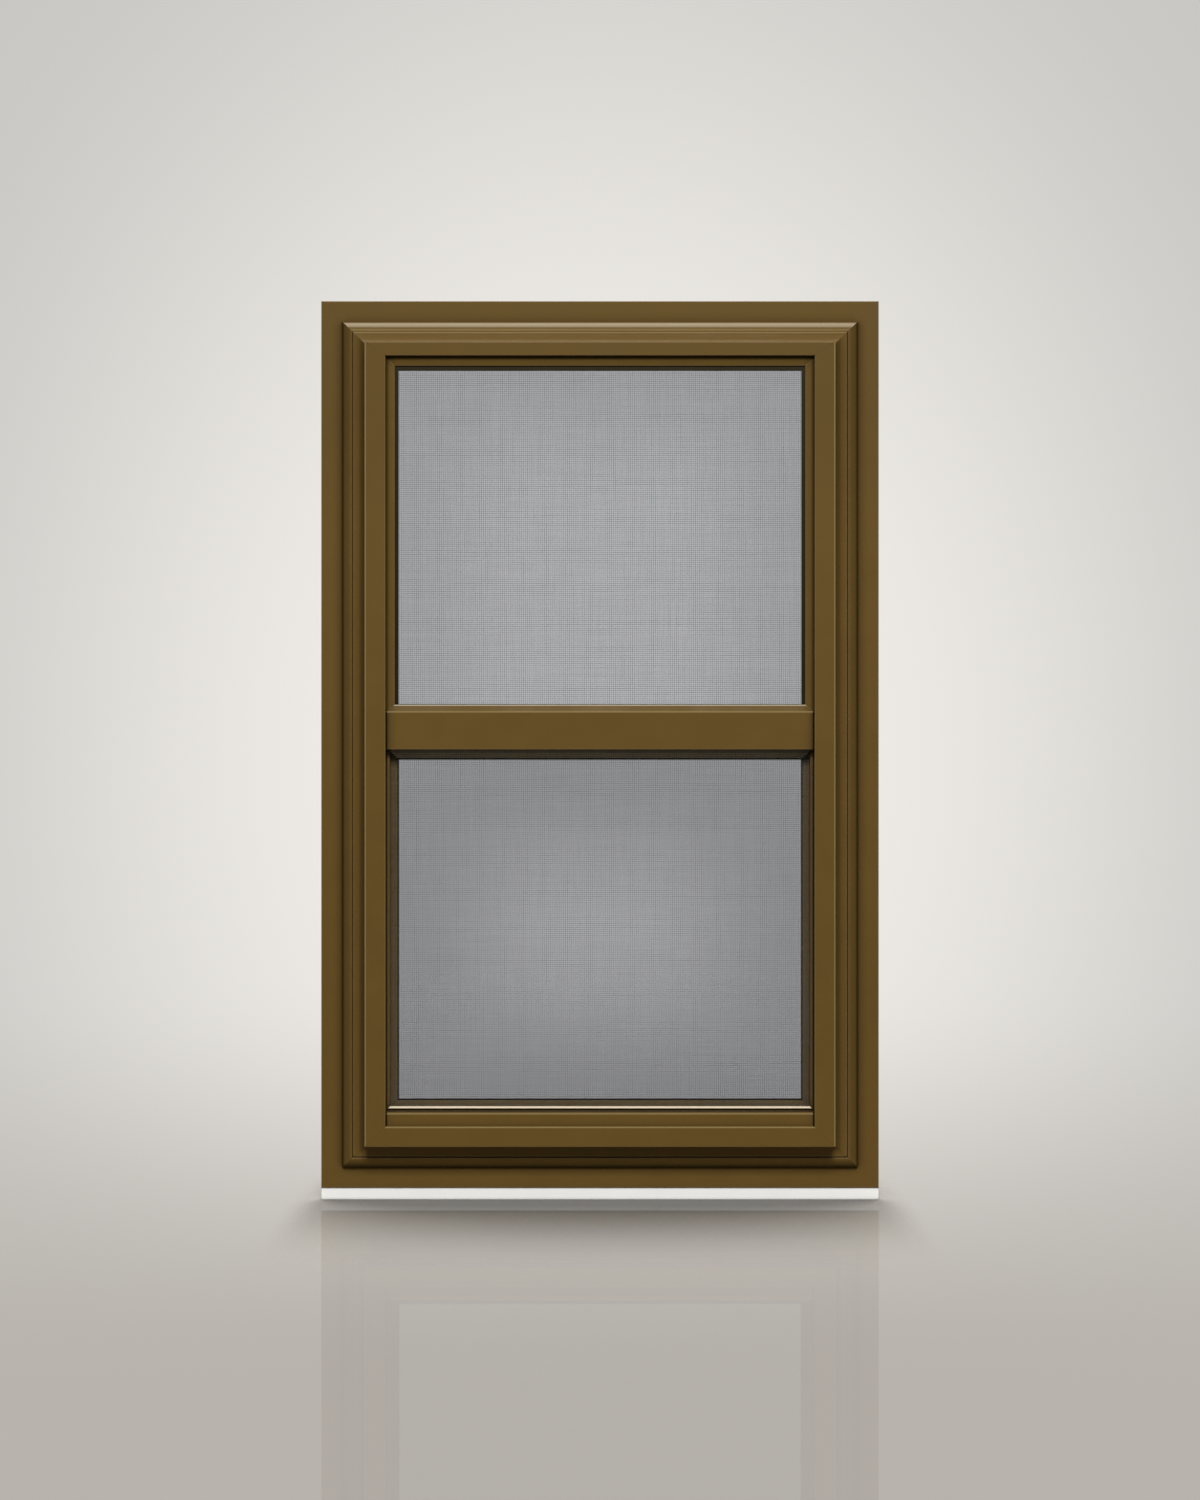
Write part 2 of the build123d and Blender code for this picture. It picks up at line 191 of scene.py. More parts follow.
def length_prop(name, description, default):
    """A length in metres that a user may change."""
    return FloatProperty(
        name=name,
        description=description,
        default=default,
        min=0.0,
        precision=5,
        subtype="DISTANCE",
        unit="LENGTH",
    )


def light_prop(name, description, default, unit="NONE"):
    """A lamp's power or the strength of the fill, which a user may change."""
    return FloatProperty(name=name, description=description, default=default, min=0.0, unit=unit)


class FinishSettings(bpy.types.PropertyGroup):
    """Colours and surface sizes of the metal, glass and vinyl."""

    bronze: colour_prop("Bronze", "Baked enamel on the frame and sashes", (0.117, 0.069, 0.0165))
    white: colour_prop("White", "Enamel on the sill expander", (0.90, 0.90, 0.89))
    vinyl: colour_prop("Vinyl", "Glazing gasket and screen spline", (0.010, 0.007, 0.003))
    latch: colour_prop("Latch", "Moulded plastic of the thumb latches", (0.035, 0.026, 0.015))
    upper_glass: colour_prop("Upper Glass", "Grey tint of the upper pane", (0.575, 0.60, 0.646))
    lower_glass: colour_prop("Lower Glass", "Grey tint of the lower pane", (0.496, 0.516, 0.557))
    # the arris radius also sets how wide the painted edge highlight is
    arris: length_prop("Arris", "Radius of the worn edges of the extrusions", 0.0012)
    grain: length_prop("Grain", "Size of the orange peel in the enamel", 0.0012)
    mitre: length_prop("Mitre", "Width of the hairline at the frame's corner joints", 0.0004)
    mitre_head: length_prop("Head Face", "Width of the flat face of the head", 0.0150)
    mitre_sill: length_prop("Sill Face", "Width of the flat face of the sill", 0.0217)
    mitre_jamb: length_prop("Jamb Face", "Width of the flat face of a jamb", 0.0227)
    moulding: length_prop("Moulding", "Width of flange, bead and cove together", 0.0510)


class ScreenSettings(bpy.types.PropertyGroup):
    """Sizes and colour of the woven insect screen."""

    warp_pitch: length_prop("Warp Pitch", "Distance between upright strands", 0.00228)
    weft_pitch: length_prop("Weft Pitch", "Distance between level strands", 0.00224)
    strand: length_prop("Strand", "Thickness of one strand", 0.00026)
    wander: length_prop("Wander", "How far a strand strays from its line", 0.00005)
    stretch: length_prop("Stretch", "Length over which a strand keeps its line", 0.028)
    seed: IntProperty(name="Seed", description="Pattern of the strays", default=7, min=0)
    colour: colour_prop("Strand Colour", "Coated fibre of the screen", (0.060, 0.061, 0.062))


class StageSettings(bpy.types.PropertyGroup):
    """Camera, lamps, floor and backdrop."""

    distance: length_prop("Camera Distance", "From the wall plane to the camera", 2.37)
    height: FloatProperty(
        name="Camera Height", description="Of the level camera in the frame", default=-0.4792, unit="LENGTH"
    )
    lens: FloatProperty(name="Lens", description="Focal length in millimetres", default=51.98, min=1.0)
    key: light_prop("Key", "Power of the soft lamp in front", 345.0, "POWER")
    top: light_prop("Top", "Power of the broad lamp overhead", 170.0, "POWER")
    fill: light_prop("Fill", "Strength of the even light in front", 0.14)
    fill_behind: light_prop("Fill Behind", "Strength of the even light behind", 0.72)
    floor: colour_prop("Floor", "Pale floor", (0.385, 0.366, 0.338))
    floor_far: colour_prop("Floor Far", "Floor where it runs into the backdrop", (0.479, 0.451, 0.418))
    backdrop: colour_prop("Backdrop", "Backdrop behind the window", (0.855, 0.83, 0.79))
    backdrop_edge: colour_prop("Backdrop Edge", "Backdrop away from the window", (0.584, 0.571, 0.545))


# Node helpers


def feed(tree, socket, value):
    """Links another socket to a socket, or sets its value."""
    if isinstance(value, bpy.types.NodeSocket):
        tree.links.new(value, socket)
    else:
        socket.default_value = value


def put(tree, kind, settings=None, **inputs):
    """Adds a node, sets its own settings and feeds its inputs, which are named or numbered i0, i1 and so on."""
    made = tree.nodes.new(kind)
    for key, value in (settings or {}).items():
        setattr(made, key, value)
    for key, value in inputs.items():
        numbered = key[0] == "i" and key[1:].isdigit()
        feed(tree, made.inputs[int(key[1:]) if numbered else key.replace("_", " ")], value)
    return made


def reckon(tree, operation, *values, clamp=False):
    """A Math node's result."""
    inputs = {f"i{index}": value for index, value in enumerate(values)}
    return put(tree, "ShaderNodeMath", {"operation": operation, "use_clamp": clamp}, **inputs).outputs[0]


def product(tree, first, *others):
    """Values multiplied one after the other."""
    for other in others:
        first = reckon(tree, "MULTIPLY", first, other)
    return first


def distance(tree, first, second):
    """How far two values are apart."""
    return reckon(tree, "ABSOLUTE", reckon(tree, "SUBTRACT", first, second))


def spread(tree, value, low, high, out_low=0.0, out_high=1.0, smooth=False):
    """A clamped Map Range of a value."""
    return put(
        tree,
        "ShaderNodeMapRange",
        {"interpolation_type": "SMOOTHSTEP" if smooth else "LINEAR"},
        i0=value,
        i1=low,
        i2=high,
        i3=out_low,
        i4=out_high,
    ).outputs[0]


def blend_value(tree, factor, first, second):
    """A mix of two numbers."""
    return put(tree, "ShaderNodeMix", {"data_type": "FLOAT"}, i0=factor, i2=first, i3=second).outputs[0]


def blend_colour(tree, factor, first, second, mode="MIX"):
    """A mix of two colours."""
    settings = {"data_type": "RGBA", "blend_type": mode}
    return put(tree, "ShaderNodeMix", settings, i0=factor, i6=first, i7=second).outputs[2]


def blend_shader(tree, factor, first, second):
    """A mix of two shaders."""
    return put(tree, "ShaderNodeMixShader", i0=factor, i1=first, i2=second).outputs[0]


def toned(tree, colour, level):
    """A colour made lighter or darker by a level."""
    shade = put(tree, "ShaderNodeCombineColor", i0=level, i1=level, i2=level).outputs[0]
    return blend_colour(tree, 1.0, colour, shade, "MULTIPLY")


def object_place(tree):
    """A point's place in the shared frame."""
    return tree.nodes.new("ShaderNodeTexCoord").outputs["Object"]


def split(tree, vector):
    """The X, Y and Z of a vector."""
    return put(tree, "ShaderNodeSeparateXYZ", Vector=vector).outputs


def mirrored_rays(tree, path):
    """One for rays that a polish has mirrored, and nought for rays that glass has bent."""
    return reckon(tree, "SUBTRACT", path["Is Glossy Ray"], path["Is Transmission Ray"], clamp=True)


def rgba(colour):
    """A colour as the four numbers that a socket takes."""
    return (colour[0], colour[1], colour[2], 1.0)


def shaded(colour, share):
    """A share of a colour, as the four numbers that a socket takes."""
    return rgba([part * share for part in colour])


def new_group(name, inputs, outputs):
    """An empty shader node group with named sockets."""
    tree = bpy.data.node_groups.new(name, "ShaderNodeTree")
    for socket_name, kind, default in inputs:
        socket = tree.interface.new_socket(socket_name, in_out="INPUT", socket_type=kind)
        socket.default_value = default
    for socket_name, kind in outputs:
        tree.interface.new_socket(socket_name, in_out="OUTPUT", socket_type=kind)
    return tree, tree.nodes.new("NodeGroupInput").outputs, tree.nodes.new("NodeGroupOutput").inputs


def use_group(tree, name, **inputs):
    """A group placed in a material with its own values."""
    return put(tree, "ShaderNodeGroup", {"node_tree": bpy.data.node_groups[name]}, **inputs).outputs


def new_material(name, colour):
    """A new material, its nodes and its Principled shader."""
    material = bpy.data.materials.new(name)
    material.use_nodes = True
    material.diffuse_color = rgba(colour)
    tree = material.node_tree
    return material, tree, tree.nodes["Principled BSDF"]


def finish_nodes(material, names):
    """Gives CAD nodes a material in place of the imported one."""
    for name in names:
        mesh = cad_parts[name].data
        mesh.materials.clear()
        mesh.materials.append(material)


# Shared surface effects


def coat_grain_group():
    """Slight clouding of the colour, uneven gloss and the orange peel of a sprayed coat."""
    tree, given, out = new_group(
        "Coat Grain",
        (
            ("Tone", "NodeSocketColor", (0.5, 0.5, 0.5, 1.0)),
            ("Clouding", "NodeSocketFloat", 0.06),
            ("Peel Scale", "NodeSocketFloat", 800.0),
            ("Gloss Low", "NodeSocketFloat", 0.34),
            ("Gloss High", "NodeSocketFloat", 0.46),
        ),
        (("Color", "NodeSocketColor"), ("Roughness", "NodeSocketFloat"), ("Height", "NodeSocketFloat")),
    )
    place = object_place(tree)
    clouds = put(tree, "ShaderNodeTexNoise", Vector=place, Scale=22.0, Detail=4.0, Roughness=0.6).outputs[0]
    peel = put(
        tree, "ShaderNodeTexNoise", Vector=place, Scale=given["Peel Scale"], Detail=2.0, Roughness=0.45
    ).outputs[0]
    swing = product(tree, reckon(tree, "SUBTRACT", clouds, 0.5), given["Clouding"], 4.0)
    level = reckon(tree, "ADD", 1.0, swing)
    gloss = spread(tree, clouds, *NOISE_RANGE, given["Gloss Low"], given["Gloss High"])
    tree.links.new(toned(tree, given["Tone"], level), out["Color"])
    tree.links.new(gloss, out["Roughness"])
    tree.links.new(peel, out["Height"])


def soft_arris_group():
    """Rounded light on sharp edges, with masks for the painted highlight on arrises and for the painted shade in
    corners.
    """
    tree, given, out = new_group(
        "Soft Arris",
        (("Radius", "NodeSocketFloat", 0.0005), ("Corner Reach", "NodeSocketFloat", 0.004)),
        (("Normal", "NodeSocketVector"), ("Arris", "NodeSocketFloat"), ("Corner", "NodeSocketFloat")),
    )
    bevel = put(tree, "ShaderNodeBevel", {"samples": EFFECT_SAMPLES}, Radius=given["Radius"]).outputs[0]
    flat = tree.nodes.new("ShaderNodeNewGeometry").outputs["Normal"]
    agree = put(tree, "ShaderNodeVectorMath", {"operation": "DOT_PRODUCT"}, i0=bevel, i1=flat).outputs["Value"]
    turned = spread(tree, agree, 1.0, EDGE_TURN)
    open_sky = put(
        tree,
        "ShaderNodeAmbientOcclusion",
        {"samples": EFFECT_SAMPLES, "only_local": False},
        Distance=given["Corner Reach"],
    ).outputs["AO"]
    tree.links.new(bevel, out["Normal"])
    tree.links.new(product(tree, turned, spread(tree, open_sky, *EDGE_SKY)), out["Arris"])
    tree.links.new(spread(tree, open_sky, *CORNER_SKY), out["Corner"])


def mitre_line_group():
    """Hairline of the corner joints, which turns where the moulding meets faces of different width."""
    tree, given, out = new_group(
        "Mitre Hairline",
        (
            ("Width", "NodeSocketFloat", 0.0004),
            ("Moulding", "NodeSocketFloat", 0.051),
            ("Jamb Face", "NodeSocketFloat", 0.0227),
            ("Head Face", "NodeSocketFloat", 0.015),
            ("Sill Face", "NodeSocketFloat", 0.0217),
        ),
        (("Mask", "NodeSocketFloat"), ("Beside", "NodeSocketFloat")),
    )
    axes = split(tree, object_place(tree))
    across = reckon(tree, "SUBTRACT", HEAD_HIGH.x, reckon(tree, "ABSOLUTE", axes["X"]))
    from_top = reckon(tree, "SUBTRACT", HEAD_HIGH.z, axes["Z"])
    from_foot = reckon(tree, "SUBTRACT", axes["Z"], SILL_LOW.z)
    down = reckon(tree, "MINIMUM", from_top, from_foot)
    at_foot = reckon(tree, "LESS_THAN", from_foot, from_top)
    face = blend_value(tree, at_foot, given["Head Face"], given["Sill Face"])
    slope = reckon(tree, "DIVIDE", face, given["Jamb Face"])
    past_side = reckon(tree, "SUBTRACT", across, given["Moulding"])
    past_level = reckon(tree, "SUBTRACT", down, given["Moulding"])
    outer_gap = product(tree, distance(tree, across, down), OUTER_SLANT)
    inner_gap = product(tree, distance(tree, product(tree, past_side, slope), past_level), INNER_SLANT)
    gap = blend_value(tree, reckon(tree, "GREATER_THAN", past_side, 0.0), outer_gap, inner_gap)
    half = product(tree, given["Width"], 0.5)
    tree.links.new(spread(tree, gap, half, 0.0, smooth=True), out["Mask"])
    tree.links.new(spread(tree, gap, *JOINT_CLEARANCE), out["Beside"])


def edge_shade_group():
    """Painted shade that darkens a pane toward its edges, and faint smears all over it."""
    tree, given, out = new_group(
        "Edge Film",
        (
            ("Side", "NodeSocketFloat", 0.25),
            ("Foot", "NodeSocketFloat", -0.5),
            ("Top", "NodeSocketFloat", 0.0),
            ("Reach", "NodeSocketFloat", 0.17),
        ),
        (("Mask", "NodeSocketFloat"), ("Smear", "NodeSocketFloat")),
    )
    place = object_place(tree)
    axes = split(tree, place)
    from_side = reckon(tree, "SUBTRACT", given["Side"], reckon(tree, "ABSOLUTE", axes["X"]))
    from_top = reckon(tree, "SUBTRACT", given["Top"], axes["Z"])
    from_foot = reckon(tree, "SUBTRACT", axes["Z"], given["Foot"])
    gaps = (from_side, reckon(tree, "MINIMUM", from_top, from_foot))
    clear = product(tree, *(spread(tree, gap, 0.0, given["Reach"], smooth=True) for gap in gaps))
    smear = put(tree, "ShaderNodeTexNoise", Vector=place, Scale=9.0, Detail=3.0, Distortion=0.6).outputs[0]
    tree.links.new(reckon(tree, "SUBTRACT", 1.0, clear), out["Mask"])
    tree.links.new(spread(tree, smear, 0.3, 0.8), out["Smear"])


# Finishes


def grained(tree, tone, clouding, peel_scale, gloss):
    """The Coat Grain of one finish: its tone, clouding, fineness, and lowest and highest roughness."""
    return use_group(
        tree,
        "Coat Grain",
        Tone=rgba(tone),
        Clouding=clouding,
        Peel_Scale=peel_scale,
        Gloss_Low=gloss[0],
        Gloss_High=gloss[1],
    )


def lead_in(tree, shader, colour, roughness, height, bump, depth=PEEL_DEPTH, normal=None):
    """Leads a finish into its shader: colour, roughness, and a bump over the surface or over rounded edges."""
    rounded = {} if normal is None else {"Normal": normal}
    raised = put(tree, "ShaderNodeBump", Strength=bump, Distance=depth, Height=height, **rounded)
    tree.links.new(colour, shader.inputs["Base Color"])
    tree.links.new(roughness, shader.inputs["Roughness"])
    tree.links.new(raised.outputs[0], shader.inputs["Normal"])


def draw_line(tree, colour, line):
    """A colour with one line drawn over it, which fades over the outer half of its width."""
    along = split(tree, object_place(tree))[line.axis]
    if line.axis == "X":
        along = reckon(tree, "ABSOLUTE", along)
    off = distance(tree, along, line.place)
    mask = spread(tree, off, line.half, line.half * 0.5, 0.0, line.strength)
    return blend_colour(tree, mask, colour, rgba(line.tint))


def bronze_enamel(name, settings, mitred=False, corner_shade=PAINTED_SHADE, painted_fill=0.0, lines=()):
    """Satin bronze baked enamel with a painted highlight on sharp edges, painted shade in corners, dark mitre
    joints, painted fill light on front faces where asked, and painted lines of shade and highlight.
    """
    material, tree, shader = new_material(name, settings.bronze)
    coat = grained(tree, settings.bronze, 0.05, 1.0 / settings.grain, (0.44, 0.56))
    edge = use_group(tree, "Soft Arris", Radius=settings.arris, Corner_Reach=0.012)
    edge_highlight = product(tree, edge["Arris"], EDGE_HIGHLIGHT_SHARE)
    normal = edge["Normal"]
    if mitred:
        joint = use_group(
            tree,
            "Mitre Hairline",
            Width=settings.mitre,
            Moulding=settings.moulding,
            Jamb_Face=settings.mitre_jamb,
            Head_Face=settings.mitre_head,
            Sill_Face=settings.mitre_sill,
        )
        edge_highlight = product(tree, edge_highlight, reckon(tree, "SUBTRACT", 1.0, joint["Beside"]))
        flat = tree.nodes.new("ShaderNodeNewGeometry").outputs["Normal"]
        sharp = put(tree, "ShaderNodeMix", {"data_type": "VECTOR"}, i0=joint["Beside"], i4=normal, i5=flat)
        normal = sharp.outputs[1]
    # painted highlight on edges, kept off the mitre joints
    colour = blend_colour(tree, edge_highlight, coat["Color"], rgba(EDGE_HIGHLIGHT))
    # painted shade in corners, from the ambient occlusion mask
    colour = blend_colour(tree, product(tree, edge["Corner"], CORNER_SHADE_SHARE), colour, rgba(corner_shade))
    if mitred:
        colour = blend_colour(tree, product(tree, joint["Mask"], JOINT_SHARE), colour, rgba(JOINT))
    # painted fill light on front faces
    if painted_fill:
        facing = split(tree, tree.nodes.new("ShaderNodeTexCoord").outputs["Normal"])["Y"]
        colour = blend_colour(tree, spread(tree, facing, *PAINTED_FILL_FACING, 0.0, painted_fill), colour, rgba(PAINTED_FILL))
    # painted lines of shade and highlight
    for line in lines:
        colour = draw_line(tree, colour, line)
    shader.inputs["Specular IOR Level"].default_value = ENAMEL_SPECULAR
    shader.inputs["Specular Tint"].default_value = rgba(WARM_GLOSS)
    dulled = blend_value(tree, edge["Corner"], coat["Roughness"], DULL_CORNER)
    lead_in(tree, shader, colour, dulled, coat["Height"], 0.06, normal=normal)
    return material


# Modelling helpers


def deselect_all():
    """Leaves object mode with nothing selected."""
    if bpy.context.object and bpy.context.object.mode != "OBJECT":
        bpy.ops.object.mode_set(mode="OBJECT")
    bpy.ops.object.select_all(action="DESELECT")


def strand_set(name, middle, length, upright, count, pitch, settings):
    """One direction of the weave: a thin four-sided strand in short stretches, repeated side by side."""
    deselect_all()
    bpy.ops.mesh.primitive_cylinder_add(
        vertices=STRAND_SIDES,
        radius=settings.strand / 2,
        depth=length,
        end_fill_type="NGON",
        location=middle,
        rotation=(0.0, 0.0, 0.0) if upright else (0.0, math.pi / 2, 0.0),
    )
    piece = bpy.context.object
    piece.name = name
    bpy.ops.object.transform_apply(location=True, rotation=True, scale=True)
    bpy.ops.object.mode_set(mode="EDIT")
    bpy.ops.mesh.select_mode(type="EDGE")
    bpy.ops.mesh.select_all(action="DESELECT")
    bpy.ops.object.mode_set(mode="OBJECT")
    axis = 2 if upright else 0
    for edge in piece.data.edges:
        ends = [piece.data.vertices[index].co[axis] for index in edge.vertices]
        edge.select = abs(ends[0] - ends[1]) > length / 2
    bpy.ops.object.mode_set(mode="EDIT")
    bpy.ops.mesh.subdivide(number_cuts=round(length / settings.stretch) - 1)
    bpy.ops.object.mode_set(mode="OBJECT")
    array = piece.modifiers.new("side by side", "ARRAY")
    array.use_relative_offset = False
    array.use_constant_offset = True
    array.constant_offset_displace = (pitch, 0.0, 0.0) if upright else (0.0, 0.0, pitch)
    array.count = count
    bpy.ops.object.modifier_apply(modifier=array.name)
    return piece


# Operators


class STORM_OT_shared_effects(bpy.types.Operator):
    """Builds the surface effects that the finishes share"""

    bl_idname = "storm.shared_effects"
    bl_label = "Shared Effects"

    def execute(self, context):
        coat_grain_group()
        soft_arris_group()
        mitre_line_group()
        edge_shade_group()
        return {"FINISHED"}


class STORM_OT_bronze(bpy.types.Operator):
    """Coats the mitred frame, the sashes and the screen rails in bronze enamel"""

    bl_idname = "storm.bronze"
    bl_label = "Bronze Enamel"

    def execute(self, context):
        settings = context.scene.storm_finish
        face = HEAD_HIGH.x - settings.moulding
        opening = face - settings.mitre_jamb
        sill_edge = SILL_LOW.z + settings.moulding + settings.mitre_sill
        stop_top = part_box("sill_stop_bar")[1].z
        meeting_foot, meeting_top = (corner.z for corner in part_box("meeting_rail"))
        screen_rail_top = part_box("screen_bottom_rail")[1].z

        # painted shade that darkens the frame toward the head's top
        head_top_shade = Line("Z", HEAD_HIGH.z, 0.25, PAINTED_SHADE, 0.16)
        jamb_lines = (
            head_top_shade,
            # painted shade on the flank and at the foot of the bead
            Line("X", HEAD_HIGH.x - BEAD_FLANK, 0.0065, PAINTED_SHADE, 0.22),
            Line("X", HEAD_HIGH.x - BEAD_FOOT, 0.0022, PAINTED_SHADE, 0.6),
            Line("X", face + 0.0035, 0.0055, PAINTED_SHADE, 0.4),  # painted shade at the end of the cove
            Line("X", face - 0.0006, 0.0014, PAINTED_HIGHLIGHT_DIM, 0.9),  # painted highlight on the edge of the face
        )
        head_lines = (
            head_top_shade,
            # painted highlights on the bead's crest and over the quirk
            Line("Z", HEAD_HIGH.z - HEAD_CREST, 0.0034, PAINTED_HIGHLIGHT_BRIGHT, 0.47),
            Line("Z", HEAD_HIGH.z - QUIRK, 0.0024, PAINTED_HIGHLIGHT_DIM, 1.0),
        )
        sill_lines = (
            # painted shade on the bead's flank and painted highlight on the face's top edge
            Line("Z", SILL_LOW.z + BEAD_FLANK, 0.0065, PAINTED_SHADE, 0.3),
            Line("Z", sill_edge - 0.0004, 0.0010, PAINTED_HIGHLIGHT_DIM, 1.0),
        )
        stop_lines = (
            # painted shade at the bar's ends
            Line("X", opening, 0.0030, PAINTED_SHADE, 0.4),
            Line("Z", stop_top, 0.0016, PAINTED_SHADE, 0.9),  # painted shadow in the gap above the bar
            # painted highlight on the bar's top edge
            Line("Z", stop_top - 0.0023, 0.0014, PAINTED_HIGHLIGHT_DIM, 1.0),
        )
        meeting_lines = (
            # painted shade at the rail's ends
            Line("X", opening, 0.0034, PAINTED_SHADE, 0.45),
            Line("Z", meeting_top - 0.0040, 0.0045, PAINTED_SHADE, 0.2),  # painted shade that dims the bevel
            Line("Z", meeting_top - 0.0078, 0.0012, PAINTED_HIGHLIGHT_DIM, 0.8),  # painted highlight at the foot of the bevel
            Line("Z", meeting_top - 0.0004, 0.0010, PAINTED_HIGHLIGHT_BRIGHT, 1.0),  # painted highlight on the top edge
        )
        # painted shade in the gap beside the jambs' lips
        sash_lines = (Line("X", opening, 0.0034, PAINTED_SHADE, 0.75),)
        screen_lines = (Line("X", opening, 0.0034, PAINTED_SHADE, 0.35),)
        # painted highlight on the top edge of the screen's bottom rail
        screen_rail_lines = (Line("Z", screen_rail_top - 0.0004, 0.0012, PAINTED_HIGHLIGHT_PALE, 1.0),)
        # painted shadow under the meeting rail
        rear_top_lines = (Line("Z", meeting_foot - 0.0010, 0.0032, PAINTED_SHADE, 0.4),)

        for name, nodes, look in (
            ("jamb_enamel", JAMB_NODES, dict(mitred=True, lines=jamb_lines)),
            ("head_enamel", ("head_rail",), dict(mitred=True, corner_shade=HEAD_CORNER_SHADE, lines=head_lines)),
            ("sill_enamel", ("sill_rail",), dict(mitred=True, lines=sill_lines)),
            ("stop_bar_enamel", ("sill_stop_bar",), dict(corner_shade=STOP_CORNER_SHADE, lines=stop_lines)),
            ("sash_enamel", FRONT_NODES, dict(lines=sash_lines)),
            ("screen_enamel", SCREEN_NODES, dict(lines=screen_lines)),
            ("meeting_rail_enamel", ("meeting_rail",), dict(lines=meeting_lines)),
            ("screen_rail_enamel", ("screen_bottom_rail",), dict(lines=screen_rail_lines)),
            ("rear_sash_enamel", REAR_NODES, dict(painted_fill=0.1)),
            ("rear_top_rail_enamel", ("lower_sash_top_rail",), dict(painted_fill=1.0, lines=rear_top_lines)),
        ):
            finish_nodes(bronze_enamel(name, settings, **look), nodes)
        return {"FINISHED"}


class STORM_OT_expander(bpy.types.Operator):
    """Coats the sill expander in white enamel"""

    bl_idname = "storm.expander"
    bl_label = "White Expander"

    def execute(self, context):
        settings = context.scene.storm_finish
        material, tree, shader = new_material("white_enamel", settings.white)
        coat = grained(tree, settings.white, 0.02, 1.0 / settings.grain, (0.3, 0.4))
        edge = use_group(tree, "Soft Arris", Radius=settings.arris, Corner_Reach=0.003)
        # painted shade in the expander's corners
        expander_shade = product(tree, edge["Corner"], 0.4)
        colour = blend_colour(tree, expander_shade, coat["Color"], rgba(EXPANDER_CORNER_SHADE))
        lead_in(tree, shader, colour, coat["Roughness"], coat["Height"], 0.05, normal=edge["Normal"])
        finish_nodes(material, ("sill_expander",))
        return {"FINISHED"}


class STORM_OT_glazing(bpy.types.Operator):
    """Makes the two panes grey tinted glass and their gaskets dark vinyl"""

    bl_idname = "storm.glazing"
    bl_label = "Glass and Vinyl"

    def execute(self, context):
        settings = context.scene.storm_finish
        for pane in PANES:
            self.glaze(pane, getattr(settings, pane.name))
        material, tree, shader = new_material("gasket_vinyl", settings.vinyl)
        coat = grained(tree, settings.vinyl, 0.12, 1600.0, (0.42, 0.6))
        shader.inputs["Specular IOR Level"].default_value = VINYL_SPECULAR
        shader.inputs["Specular Tint"].default_value = rgba(WARM_GLOSS)
        lead_in(tree, shader, coat["Color"], coat["Roughness"], coat["Height"], 0.1)
        finish_nodes(material, GASKET_NODES)
        return {"FINISHED"}

    def glaze(self, pane, body):
        """One pane, which lets shadows and the floor's mirror image straight through."""
        low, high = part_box(pane.name)
        material, tree, shader = new_material(f"{pane.name}_pane", body)
        pane_shade = use_group(
            tree, "Edge Film", Side=high.x, Foot=low.z - pane.below, Top=high.z, Reach=pane.reach
        )
        clean = blend_colour(tree, pane_shade["Smear"], rgba(body), shaded(body, SMEARED))
        # painted shade darkens the tint toward the pane's edges
        tint = blend_colour(tree, pane_shade["Mask"], clean, shaded(body, pane.edge))
        roughness = spread(tree, pane_shade["Smear"], 0.1, 0.9, 0.0, SMEAR_ROUGHNESS)
        tree.links.new(tint, shader.inputs["Base Color"])
        tree.links.new(roughness, shader.inputs["Roughness"])
        shader.inputs["Transmission Weight"].default_value = 1.0
        shader.inputs["IOR"].default_value = GLASS_IOR
        passing = put(tree, "ShaderNodeBsdfTransparent", Color=rgba(PASSING_LIGHT)).outputs[0]
        path = tree.nodes.new("ShaderNodeLightPath").outputs
        straight = reckon(tree, "MAXIMUM", path["Is Shadow Ray"], mirrored_rays(tree, path))
        mix = blend_shader(tree, straight, shader.outputs[0], passing)
        tree.links.new(mix, tree.nodes["Material Output"].inputs["Surface"])
        finish_nodes(material, (pane.name,))


class STORM_OT_latches(bpy.types.Operator):
    """Finishes the thumb latches as moulded plastic"""

    bl_idname = "storm.latches"
    bl_label = "Thumb Latches"

    def execute(self, context):
        settings = context.scene.storm_finish
        material, tree, shader = new_material("latch_moulding", settings.latch)
        coat = grained(tree, settings.latch, 0.08, 2500.0, (0.38, 0.5))
        edge = use_group(tree, "Soft Arris", Radius=0.0006, Corner_Reach=0.002)
        lead_in(
            tree,
            shader,
            coat["Color"],
            coat["Roughness"],
            coat["Height"],
            0.25,
            depth=PEEL_DEPTH / 2,
            normal=edge["Normal"],
        )
        finish_nodes(material, LATCH_NODES)
        return {"FINISHED"}


